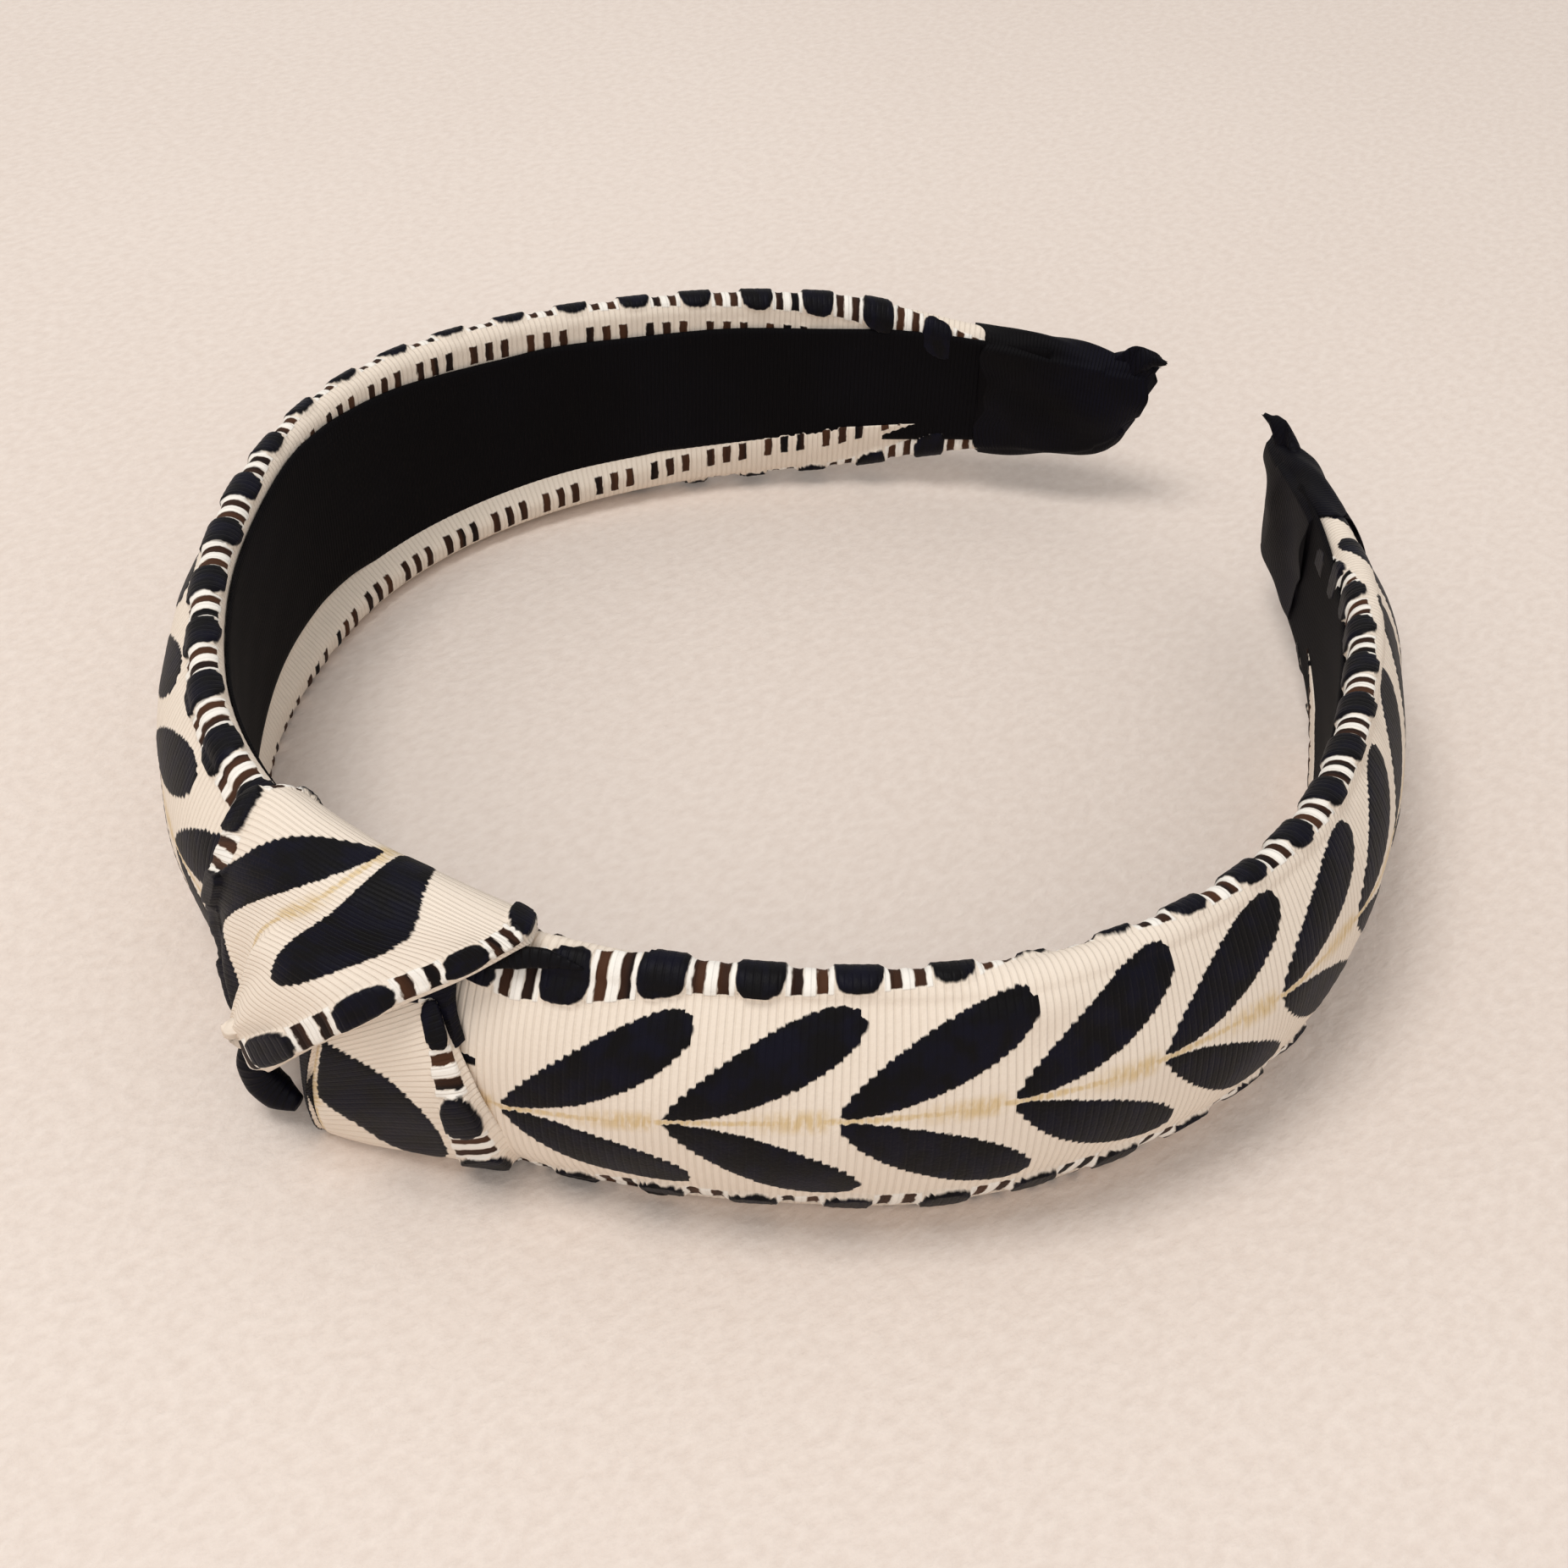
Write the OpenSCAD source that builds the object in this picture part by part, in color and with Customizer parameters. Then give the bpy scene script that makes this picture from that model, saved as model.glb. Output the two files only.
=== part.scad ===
// Knotted headband: a padded C-shaped band covered in a woven ribbon that is tied in a flat knot
// near the crown. The band stands on its edge: +Z runs across its width, the knot faces -Y and
// the open ends face +Y. The origin is under the middle of the whole object, on the resting plane.

/* [Band plan] */
// Inner radius at the crown
crown_r = 52; // [46:1:60]
// Length of the crown stretch, from the middle of the band
crown_l = 25; // [22:1:30]
// Inner radius of the flatter shoulder stretch
shoulder_r = 84; // [76:1:95]
// Length of the shoulder stretch
shoulder_l = 37; // [32:1:42]
// Inner radius of the side stretch, over the ear
side_r = 50; // [46:1:56]
// Length of the side stretch
side_l = 53; // [46:1:56]
// Inner radius of the end stretch, behind the ear
end_r = 115; // [100:5:140]
// Length of the end stretch, to the end of the core strip
end_l = 71; // [64:1:74]

/* [Band section] */
// Width of the band at the crown
band_w = 31; // [29:0.5:32]
// Thickness of the band at its two edges
edge_t = 4; // [3.8:0.1:4.4]
// Rise of the padding above the edges, at the middle of the width
dome_rise = 5; // [4:0.25:5.5]
// How much each edge draws in towards the ends
end_taper = 6.5; // [5:0.25:7]
// Distance from the crown at which the taper starts
taper_start = 80; // [70:1:90]

/* [Layers] */
// Thickness of the lining ribbon
lining_t = 0.45; // [0.3:0.05:0.45]
// Thickness of the woven cover
cover_t = 0.7; // [0.6:0.05:0.75]
// Thickness of the springy core strip
core_t = 1.3; // [1.1:0.1:1.4]
// Thickness of the fabric wrapped round each end
cap_t = 0.6; // [0.5:0.05:0.7]
// Length of band that each end wrap covers
cap_l = 25; // [20:1:30]

/* [Knot] */
// Distance of the knot's middle from the middle of the band
knot_s = 8; // [6:0.5:9]
// How far the knot stands out from the inner face of the band
knot_reach = 13.5; // [13:0.25:15]
// Thickness of the folded ribbon in the knot
knot_t = 1.4; // [1.2:0.1:1.5]

/* [Flex] */
// Distance from the crown at which each arm flexes
flex_s = 34; // [34:0.5:36]
// Gap between the crown and each arm, along the band
flex_gap = 1.2; // [1:0.1:1.4]

/* [Hidden] */

// Colours
cream = "#EBDECD";
navy = "#1C1A26";
foam_white = "#F2F0EA";
core_white = "#D9D8D2";

// Small clearance between layers that lie on each other
film = 0.15;
// Exponent of the dome curve, between an ellipse and a flat top
dome_power = 2.2;
// Spacing of the cross-sections along the band
ring_step = 6;

arc_r = [crown_r, shoulder_r, side_r, end_r];
arc_l = [crown_l, shoulder_l, side_l, end_l];
arm_l = crown_l + shoulder_l + side_l + end_l;
arm_start = flex_s + flex_gap / 2;
crown_end = flex_s - flex_gap / 2;
cap_start = arm_l - cap_l + 2;
cap_end = arm_l + 2;
taper_l = arm_l - taper_start;
mid_z = band_w / 2;

// Radius of the rounded edge, and the height at which the dome meets it
rim_r = (edge_t - lining_t - film) / 2;
rim_off = lining_t + film + rim_r;
// Half-angle of the flat at the bottom of the rounded edge
rim_flat = 20;

core_off = lining_t + film + cover_t + film;
pad_off = core_off + core_t + film;

// Plan of the band: [x, y, heading] at distance s along the inner face, crown at 0
function walk(s, i, x, y, h) =
    let (l = i == len(arc_r) - 1 ? s : min(s, arc_l[i]),
         h2 = h + l / arc_r[i] * 180 / PI,
         x2 = x + arc_r[i] * (sin(h2) - sin(h)),
         y2 = y + arc_r[i] * (cos(h) - cos(h2)))
    s <= l ? [x2, y2, h2] : walk(s - l, i + 1, x2, y2, h2);
function plan(s) = s < 0 ? let (p = walk(-s, 0, 0, 0, 0)) [-p[0], p[1], -p[2]] : walk(s, 0, 0, 0, 0);

// Point at distance s along the band, off outwards from its inner face, z above the floor
function on_band(s, off, z) =
    let (p = plan(s))
    [p[0] + off * sin(p[2]), p[1] - off * cos(p[2]), z];

// Half of the width of the band at distance s
function half_w(s) = mid_z - end_taper * pow(max(0, min(1, (abs(s) - taper_start) / taper_l)), 2);
// Height of the dome at s, at a fraction f of the half-width inside the rounded edges
function dome(s, f) = edge_t + dome_rise * half_w(s) / mid_z * (1 - pow(abs(f), dome_power));

// The origin lies midway between the front of the knot and the back of the ends
front_y = on_band(knot_s - 2, knot_reach, 0)[1];
back_y = on_band(cap_end, dome(arm_l, 0) + film + cap_t, 0)[1];
origin_y = (front_y + back_y) / 2;

function steps(a, b, n) = [for (i = [0:n]) a + (b - a) * i / n];
function stations(a, b) = steps(a, b, ceil((b - a) / ring_step));

// Open outline of the outer surface at s, from the lower hem edge over the dome to the upper
// hem edge, moved inwards by t; hem is the half-height at which the hem starts
function outline(s, t, hem) =
    let (w = half_w(s),
         r = rim_r - t,
         e = w - rim_r,
         angles = [180, 145, 90 + rim_flat, 90 - rim_flat, 35, 0],
         rim = [for (a = angles) [rim_off + r * cos(a), e + r * sin(a) / cos(rim_flat)]])
    concat([[rim_off - r, -hem]],
           [for (p = rim) [p[0], -p[1]]],
           [for (f = [-0.9, -0.72, -0.5, -0.25, 0, 0.25, 0.5, 0.72, 0.9]) [dome(s, f) - t, f * e]],
           [for (i = [len(rim) - 1:-1:0]) rim[i]],
           [[rim_off - r, hem]]);

// Places an outline of [off, height above the middle] at distance s
function placed(s, pts) = [for (p = pts) on_band(s, p[0], mid_z + p[1])];

// Solid through a list of closed rings that have the same number of points
module swept(rings) {
    n = len(rings[0]);
    last = (len(rings) - 1) * n;
    sides = [for (i = [0:len(rings) - 2], j = [0:n - 1], k = [0, 1])
        let (a = i * n + j, b = i * n + (j + 1) % n)
        k == 0 ? [a, b, b + n] : [a, b + n, a + n]];
    start = [for (j = [n - 1:-1:0]) j];
    end = [for (j = [0:n - 1]) last + j];
    translate([0, -origin_y, 0])
        polyhedron([for (ring = rings) each ring], concat([start], sides, [end]));
}

// Closed cup: an outer skin and an inner skin, joined round the mouth and both shut at the far end
module cup(outer, inner) {
    n = len(outer[0]);
    base = len(outer) * n;
    outer_sides = [for (i = [0:len(outer) - 2], j = [0:n - 1], k = [0, 1])
        let (a = i * n + j, b = i * n + (j + 1) % n)
        k == 0 ? [a, b, b + n] : [a, b + n, a + n]];
    inner_sides = [for (i = [0:len(inner) - 2], j = [0:n - 1], k = [0, 1])
        let (a = base + i * n + j, b = base + i * n + (j + 1) % n)
        k == 0 ? [a, b + n, b] : [a, a + n, b + n]];
    mouth = [for (j = [0:n - 1], k = [0, 1])
        let (a = j, b = (j + 1) % n)
        k == 0 ? [a, base + b, b] : [a, base + a, base + b]];
    outer_end = [for (j = [0:n - 1]) base - n + j];
    inner_end = [for (j = [n - 1:-1:0]) base + (len(inner) - 1) * n + j];
    points = concat([for (ring = outer) each ring], [for (ring = inner) each ring]);
    translate([0, -origin_y, 0])
        polyhedron(points, concat(outer_sides, inner_sides, mouth, [outer_end], [inner_end]));
}

// Closed sheet: a grid of outer points and the matching grid of inner points
module sheet(outer, inner) {
    m = len(outer[0]);
    n = len(outer);
    base = n * m;
    function quad(a, b, c, d) = [[a, b, c], [a, c, d]];
    top = [for (i = [0:n - 2], j = [0:m - 2])
        each quad(i * m + j, i * m + j + 1, (i + 1) * m + j + 1, (i + 1) * m + j)];
    under = [for (i = [0:n - 2], j = [0:m - 2])
        each quad(base + i * m + j, base + (i + 1) * m + j,
                  base + (i + 1) * m + j + 1, base + i * m + j + 1)];
    sides = [for (i = [0:n - 2])
        each concat(quad(i * m, (i + 1) * m, base + (i + 1) * m, base + i * m),
                    quad(i * m + m - 1, base + i * m + m - 1,
                         base + (i + 1) * m + m - 1, (i + 1) * m + m - 1))];
    ends = [for (j = [0:m - 2])
        each concat(quad(j + 1, j, base + j, base + j + 1),
                    quad((n - 1) * m + j, (n - 1) * m + j + 1,
                         base + (n - 1) * m + j + 1, base + (n - 1) * m + j))];
    points = concat([for (row = outer) each row], [for (row = inner) each row]);
    translate([0, -origin_y, 0])
        polyhedron(points, concat(top, under, sides, ends));
}

// Layers of the band between two distances along it
module core(a, b) {
    color(core_white)
        swept([for (s = stations(a, b))
            let (w = half_w(s) - 3)
            placed(s, [[core_off, -w], [core_off + core_t, -w], [core_off + core_t, w], [core_off, w]])]);
}

module pad(a, b) {
    color(foam_white)
        swept([for (s = stations(a, b))
            let (e = half_w(s) - rim_r, t = cover_t + film)
            placed(s, concat([[pad_off, -0.96 * e]],
                [for (f = [-0.96, -0.9, -0.72, -0.5, -0.25, 0, 0.25, 0.5, 0.72, 0.9, 0.96])
                    [dome(s, f) - t, f * e]],
                [[pad_off, 0.96 * e]]))]);
}

module lining(a, b) {
    color(navy)
        swept([for (s = stations(a, b))
            let (w = 0.65 * half_w(s))
            placed(s, [[0, -w], [lining_t, -w], [lining_t, w], [0, w]])]);
}

module cover(a, b) {
    color(cream)
        sheet([for (s = stations(a, b)) placed(s, outline(s, 0, 0.45 * half_w(s)))],
              [for (s = stations(a, b)) placed(s, outline(s, cover_t, 0.45 * half_w(s)))]);
}

// Fabric wrapped round one end of the band
module end_wrap() {
    grow = film + cap_t;
    slim = 0.93;
    function ring(s, g, k) =
        let (line = outline(s, -g, 0))
        placed(s, [for (i = [1:len(line) - 2]) [line[i][0], line[i][1] * k]]);
    color(navy)
        cup(concat([for (s = stations(cap_start, cap_end - 1)) ring(s, grow, 1)],
                   [ring(cap_end, grow, slim)]),
            concat([for (s = stations(cap_start, cap_end - 1)) ring(s, film, 1)],
                   [ring(cap_end - 0.5, film, slim)]));
}

// Lobes of the knot. Each is a sheet between two edges; every edge is a row of
// [distance along the band, distance out from its inner face, height above the floor].
function mix(a, b, t) = a * (1 - t) + b * t;
function lobe(left, right, bulge, sink) =
    [for (i = [0:len(left) - 1])
        [for (u = steps(0, 1, 6))
            let (p = mix(left[i], right[i], u),
                 out = [0, p[1] - rim_off, (p[2] - mid_z) / 2],
                 d = out / norm(out) * (bulge[i] * sin(180 * u) - sink))
            on_band(p[0], p[1] + d[1], p[2] + d[2])]];

// The upper lobe turns over the upper edge of the band and narrows downwards to the pinch
wrap_left = [[2.5, 0.45, 32.6], [2, 4, 33.7], [0.5, 8.4, 30.5], [-0.5, 11, 23], [-0.5, 11.2, 15], [1.5, 11.2, 7]];
wrap_right = [[27, 0.45, 32.6], [26.5, 4.6, 33.7], [22.5, 9.4, 30.5], [16, 12, 24.5], [9.5, 12.5, 15], [6, 12.5, 7]];
wrap_bulge = [0, 0.6, 0.9, 1.2, 0.9, 0.4];
// The lower lobe comes out from under the upper one and hangs down to the resting edge
tuck_left = [[5, 10.9, 12], [4.8, 10.9, 8], [5.2, 10.2, 4], [6, 8.6, 1]];
tuck_right = [[21, 10.2, 22.5], [22.8, 10.8, 16], [24.4, 10.2, 9], [25.5, 7.2, 1]];
tuck_bulge = [-0.4, 0.2, 0.5, 0.2];
// The crossing of the two ribbon runs lies between the lobes and the padding
crossing_left = [[4, 9.6, 25], [4, 10.4, 20], [4.5, 10.4, 14.5]];
crossing_right = [[15, 9.6, 25], [14, 10.4, 20], [7, 10.4, 14.5]];
crossing_bulge = [0, 0, 0];

module knot_wrap() {
    color(cream)
        sheet(lobe(wrap_left, wrap_right, wrap_bulge, 0),
              lobe(wrap_left, wrap_right, wrap_bulge, knot_t));
}

module knot_tuck() {
    color(cream)
        sheet(lobe(tuck_left, tuck_right, tuck_bulge, 0),
              lobe(tuck_left, tuck_right, tuck_bulge, knot_t * 0.7));
}

module knot_crossing() {
    color(navy)
        sheet(lobe(crossing_left, crossing_right, crossing_bulge, 0),
              lobe(crossing_left, crossing_right, crossing_bulge, cover_t));
}

// Corner of the ribbon, rolled under at the pinch
module knot_corner_roll() {
    roll_r = 1.9;
    ends = [[0.6, 10.4, 4.4], [2.4, 11, 2.6]];
    color(navy)
        translate([0, -origin_y, 0])
            hull()
                for (e = ends)
                    translate(on_band(e[0], e[1], e[2]))
                        sphere(r = roll_r, $fn = 16);
}

// Lens-shaped fold of the ribbon that shows above the upper edge, beside the knot
module knot_back_fold() {
    fold_start = 27.6;
    fold_end = flex_s - flex_gap;
    fold_h = 1.4;
    inner = 1;
    outer = 3.2;
    color(navy)
        swept([for (u = steps(0, 1, 8))
            let (s = mix(fold_start, fold_end, u),
                 low = mid_z + film,
                 high = low + 0.2 + fold_h * sin(180 * u))
            placed(s, [[inner, low], [outer, low], [outer, high], [inner, high]])]);
}

core(-crown_end, crown_end);  // core_crown
mirror([1, 0, 0]) core(arm_start, arm_l);  // core_left
core(arm_start, arm_l);  // core_right
pad(-crown_end, crown_end);  // pad_crown
mirror([1, 0, 0]) pad(arm_start, arm_l);  // pad_left
pad(arm_start, arm_l);  // pad_right
lining(-crown_end, crown_end);  // lining_crown
mirror([1, 0, 0]) lining(arm_start, cap_start - film);  // lining_left
lining(arm_start, cap_start - film);  // lining_right
cover(-crown_end, knot_s - film);  // cover_crown_left
cover(knot_s, crown_end);  // cover_crown_right
mirror([1, 0, 0]) cover(arm_start, arm_l - 4);  // cover_left
cover(arm_start, arm_l - 4);  // cover_right
knot_wrap();
knot_tuck();
knot_crossing();
knot_corner_roll();
knot_back_fold();
mirror([1, 0, 0]) end_wrap();  // end_wrap_left
end_wrap();  // end_wrap_right
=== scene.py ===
"""Knotted headband of patterned ribbon over a sprung core, on a pale fleece."""

import math

import bpy
import numpy as np
from mathutils import Matrix, Vector


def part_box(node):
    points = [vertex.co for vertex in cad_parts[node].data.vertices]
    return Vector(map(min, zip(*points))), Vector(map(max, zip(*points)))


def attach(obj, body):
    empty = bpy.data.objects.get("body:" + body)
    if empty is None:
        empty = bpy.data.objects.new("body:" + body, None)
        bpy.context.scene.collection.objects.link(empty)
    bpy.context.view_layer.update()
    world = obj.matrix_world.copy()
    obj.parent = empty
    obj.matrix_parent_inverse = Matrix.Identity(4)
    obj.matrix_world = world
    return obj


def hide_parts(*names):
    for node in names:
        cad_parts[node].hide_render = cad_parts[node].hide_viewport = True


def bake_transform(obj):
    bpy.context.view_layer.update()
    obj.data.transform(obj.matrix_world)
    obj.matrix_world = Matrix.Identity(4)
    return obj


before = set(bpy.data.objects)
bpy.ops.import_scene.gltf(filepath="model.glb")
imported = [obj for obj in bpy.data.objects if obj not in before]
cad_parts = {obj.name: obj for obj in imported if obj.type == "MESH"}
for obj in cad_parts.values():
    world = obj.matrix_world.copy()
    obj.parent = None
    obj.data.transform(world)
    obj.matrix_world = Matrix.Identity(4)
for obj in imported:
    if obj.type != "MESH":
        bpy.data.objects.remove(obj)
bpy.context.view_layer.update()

MM = 0.001

# Plan of the band: arcs from the middle of the crown outwards, in mm
ARC_RADII = (52.0, 84.0, 50.0, 115.0)
ARC_LENGTHS = (25.0, 37.0, 53.0, 71.0)
ARM_LENGTH = sum(ARC_LENGTHS)

# Cross-section of the band, in mm
BAND_WIDTH = 31.0
MID_Z = BAND_WIDTH / 2
EDGE_DEPTH = 4.0
DOME_RISE = 5.0
DOME_POWER = 2.2
END_TAPER = 6.5
TAPER_START = 80.0
TIGHT_END = 1.9
LINING_DEPTH = 0.45
RIM_RADIUS = 1.7
RIM_OFF = 2.3
HEM_OFF = RIM_OFF - RIM_RADIUS
CORE_OFF = 1.45
CORE_DEPTH = 1.3
PAD_OFF = 2.9
CLOTH = 0.5
HEM_SHARE = 0.45

# Shape the cloth takes over the padding, in mm
SECTION_POINTS = 66
BULGE = 0.9
BULGE_PLACE = 74.0
SLUMP = 2.8
SINK = 1.1
PRESSED_BELOW = 1.2
PRESSED_SHARE = 0.25

# Where things begin and end along the band, in mm from its middle
KNOT_MIDDLE = 9.0
BLEND_START = 27.0
BLEND_END = 54.0
LEFT_WRAP_START = 167.5
RIGHT_WRAP_START = 168.5
WRAP_END = 188.0

# Woven pattern, in mm of cloth
BORDER_SLIP = 2.4
LEAF_PITCH = 14.2
LEAF_TIP = (16.1, 10.3)
LEAF_BASE = 0.35
LEAF_HALF_WIDTH = 3.15
DOT_PITCH = 8.27
ROW_MIDDLE = 14.9
DASH_PLACE = 3.08
DASH_ROW = 21.2
RIB_PITCH = 0.7
MASKED = 100.0

# Heights of the weave over the ground, in mm
RIB_HEIGHT = 0.02
DOT_HEIGHT = 0.62
BAR_HEIGHT = 0.22
DASH_HEIGHT = 0.1
INNER_DASH_HEIGHT = 0.18
LEAF_HEIGHT = 0.1

origin_y = -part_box("lining_crown")[0][1] / MM - LINING_DEPTH


# Shape of the band

def walk(s):
    """Place and heading of the band's inner line, s mm from its middle."""
    left = np.abs(np.asarray(s, float))
    x = np.zeros_like(left)
    y = np.zeros_like(left)
    heading = np.zeros_like(left)
    for radius, length in zip(ARC_RADII, ARC_LENGTHS[:-1] + (2 * ARM_LENGTH,)):
        step = np.minimum(left, length)
        turned = heading + step / radius
        x = x + radius * (np.sin(turned) - np.sin(heading))
        y = y + radius * (np.cos(heading) - np.cos(turned))
        heading = turned
        left = left - step
    side = np.where(np.asarray(s, float) < 0, -1.0, 1.0)
    return side * x, y, side * heading


def on_band(s, off, z):
    """Points in metres: s along the band, off out from its inner face, z above the floor."""
    x, y, heading = walk(s)
    point = (x + off * np.sin(heading), y - off * np.cos(heading) - origin_y, z + 0 * x)
    return np.stack(np.broadcast_arrays(*point), axis=-1) * MM


def half_width(s):
    """Half of the band's height at s, which narrows towards the ends."""
    far = np.abs(s)
    taper = END_TAPER * np.clip((far - TAPER_START) / (ARM_LENGTH - TAPER_START), 0, 1) ** 2
    return MID_Z - taper - TIGHT_END * ramp(far, 146.0, 168.0)


def upper_profile(s, hem, spacing):
    """Half of the cover's section at s, from mid-height over the rim to the hem."""
    half = half_width(s)
    flat = half - RIM_RADIUS
    f = np.linspace(0, 1, 160)
    dome_off = EDGE_DEPTH + DOME_RISE * half / MID_Z * (1 - f ** DOME_POWER)
    turn = np.linspace(0, math.pi, 60)[1:]
    hem_z = np.linspace(flat, hem * half, 30)[1:]
    off = np.concatenate([dome_off, RIM_OFF + RIM_RADIUS * np.cos(turn), np.full(len(hem_z), HEM_OFF)])
    z = np.concatenate([f * flat, flat + RIM_RADIUS * np.sin(turn), hem_z])
    length = np.concatenate([[0], np.cumsum(np.hypot(np.diff(off), np.diff(z)))])
    at = np.linspace(0, length[-1], spacing)
    return np.interp(at, length, off), np.interp(at, length, z), at


def band_section(s, hem, spacing):
    """Whole section at s from the lower hem to the upper one: off, height and cloth width."""
    off, z, at = upper_profile(s, hem, spacing)
    return (
        np.concatenate([off[:0:-1], off]),
        np.concatenate([-z[:0:-1], z]),
        np.concatenate([-at[:0:-1], at]),
    )


# Fields: the same pattern works on numpy arrays for relief and on shader nodes for colour

class Field:
    """A number that varies over a surface, worked out by math nodes."""

    def __init__(self, tree, socket):
        self.tree = tree
        self.socket = socket

    def math(self, operation, *others):
        node = self.tree.nodes.new("ShaderNodeMath")
        node.operation = operation
        for socket, value in zip(node.inputs, (self,) + others):
            if isinstance(value, Field):
                self.tree.links.new(value.socket, socket)
            else:
                socket.default_value = value
        return Field(self.tree, node.outputs[0])

    def __add__(self, other):
        return self.math("ADD", other)

    def __sub__(self, other):
        return self.math("SUBTRACT", other)

    def __mul__(self, other):
        return self.math("MULTIPLY", other)

    def __truediv__(self, other):
        return self.math("DIVIDE", other)

    def __pow__(self, other):
        return self.math("POWER", other)

    def __neg__(self):
        return self.math("MULTIPLY", -1.0)

    def __abs__(self):
        return self.math("ABSOLUTE")

    def __rsub__(self, other):
        return -self + other

    __radd__ = __add__
    __rmul__ = __mul__


def floor(x):
    return x.math("FLOOR") if isinstance(x, Field) else np.floor(x)


def least(x, y):
    return x.math("MINIMUM", y) if isinstance(x, Field) else np.minimum(x, y)


def most(x, y):
    return x.math("MAXIMUM", y) if isinstance(x, Field) else np.maximum(x, y)


def ramp(x, low, high):
    """0 below low, 1 above high, smooth between."""
    t = most(least((x - low) / (high - low), 1.0), 0.0)
    return t * t * (3.0 - 2.0 * t)


def within(x, half, soft=0.08):
    """1 where abs(x) is less than half, 0 outside."""
    return 1.0 - ramp(abs(x), half - soft, half + soft)


# Woven pattern. a is along the ribbon, w across it from its middle, d along its borders

def in_ribs(a):
    """The place moved to the middle of its rib, which makes the stepped edges of a woven shape."""
    return (floor(a / RIB_PITCH) + 0.5) * RIB_PITCH


def leaf(a, w, base, tip, half):
    """How far inside one leaf a point lies, in mm."""
    length = math.hypot(tip[0] - base[0], tip[1] - base[1])
    ca = (tip[0] - base[0]) / length
    sa = (tip[1] - base[1]) / length
    x = ((a - base[0]) * ca + (w - base[1]) * sa) / length
    y = abs((w - base[1]) * ca - (a - base[0]) * sa)
    u = most(least(x, 0.999999), 0.000001)
    return half / 0.487 * u ** 0.68 * (1.0 - u) ** 0.42 - y


def leaf_rows(a, w):
    """Leaf pairs that repeat along the ribbon."""
    t = a - floor(a / LEAF_PITCH) * LEAF_PITCH
    side = abs(w)
    first = leaf(t, side, (0.0, LEAF_BASE), LEAF_TIP, LEAF_HALF_WIDTH)
    second = leaf(t + LEAF_PITCH, side, (0.0, LEAF_BASE), LEAF_TIP, LEAF_HALF_WIDTH)
    # Parts of the leaves beside the knot, left out because the photo shows plain ribbon there
    beside_knot = within(a - 5.2, 8.6)
    over_tuck = within(a + 7.0, 7.0) * ramp(w, 5.0, 5.6) + within(a + 1.1, 1.1)
    return most(first - over_tuck * MASKED, second - beside_knot * MASKED)


def single_leaves(a, w, leaves):
    inside = leaf(a, w, *leaves[0])
    for other in leaves[1:]:
        inside = most(inside, leaf(a, w, *other))
    return inside


def dot_distance(d):
    """Distance along the border from the nearest dot's middle."""
    return abs(d - floor(d / DOT_PITCH + 0.5) * DOT_PITCH)


def dots(d, w):
    """1 on the rounded dots of the outer border row."""
    shape = (dot_distance(d) / 2.15) ** 3.2 + (abs(abs(w) - ROW_MIDDLE) / 2.6) ** 3.2
    return 1.0 - ramp(shape, 0.85, 1.1)


def dashes(d, w):
    """1 on the thin pairs of dashes between the dots."""
    return within(dot_distance(d) - DASH_PLACE, 0.5) * within(abs(w) - ROW_MIDDLE, 2.35)


def bars(d, w):
    """1 on the raised pale bars beside the dashes."""
    gap = dot_distance(d)
    bar = within(gap - 2.35, 0.24) + within(gap - 3.95, 0.34)
    return least(bar, 1.0) * within(abs(w) - ROW_MIDDLE, 2.5)


def inner_dashes(d, w):
    """1 on the groups of three thick dashes of the inner border row."""
    gap = DOT_PITCH / 2 - dot_distance(d)
    three = within(gap, 0.55) + within(gap - 2.3, 0.55)
    return three * within(abs(w + 0.6) - DASH_ROW, 1.25)


def relief(a, w, d, panel):
    """Height of the weave over the ground, in mm. panel gives the leaves."""
    ribs = RIB_HEIGHT * np.cos(a / RIB_PITCH * 2 * math.pi)
    border = DOT_HEIGHT * dots(d, w) + BAR_HEIGHT * bars(d, w)
    dashed = DASH_HEIGHT * dashes(d, w) + INNER_DASH_HEIGHT * inner_dashes(d, w)
    return ribs + (border + dashed) + LEAF_HEIGHT * ramp(panel(a, w), -0.3, 0.6)


# Meshes

def new_object(name, vertices, faces, cloth=None):
    mesh = bpy.data.meshes.new(name)
    mesh.from_pydata(vertices.tolist(), [], faces)
    mesh.update()
    if cloth is not None:
        attribute = mesh.attributes.new("cloth", "FLOAT_VECTOR", "POINT")
        attribute.data.foreach_set("vector", cloth.ravel())
    for polygon in mesh.polygons:
        polygon.use_smooth = True
    piece = bpy.data.objects.new(name, mesh)
    bpy.context.collection.objects.link(piece)
    return piece


def normals(grid):
    along = np.gradient(grid, axis=0)
    across = np.gradient(grid, axis=1)
    normal = np.cross(along, across)
    return normal / np.maximum(np.linalg.norm(normal, axis=-1, keepdims=True), 1e-12)


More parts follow.
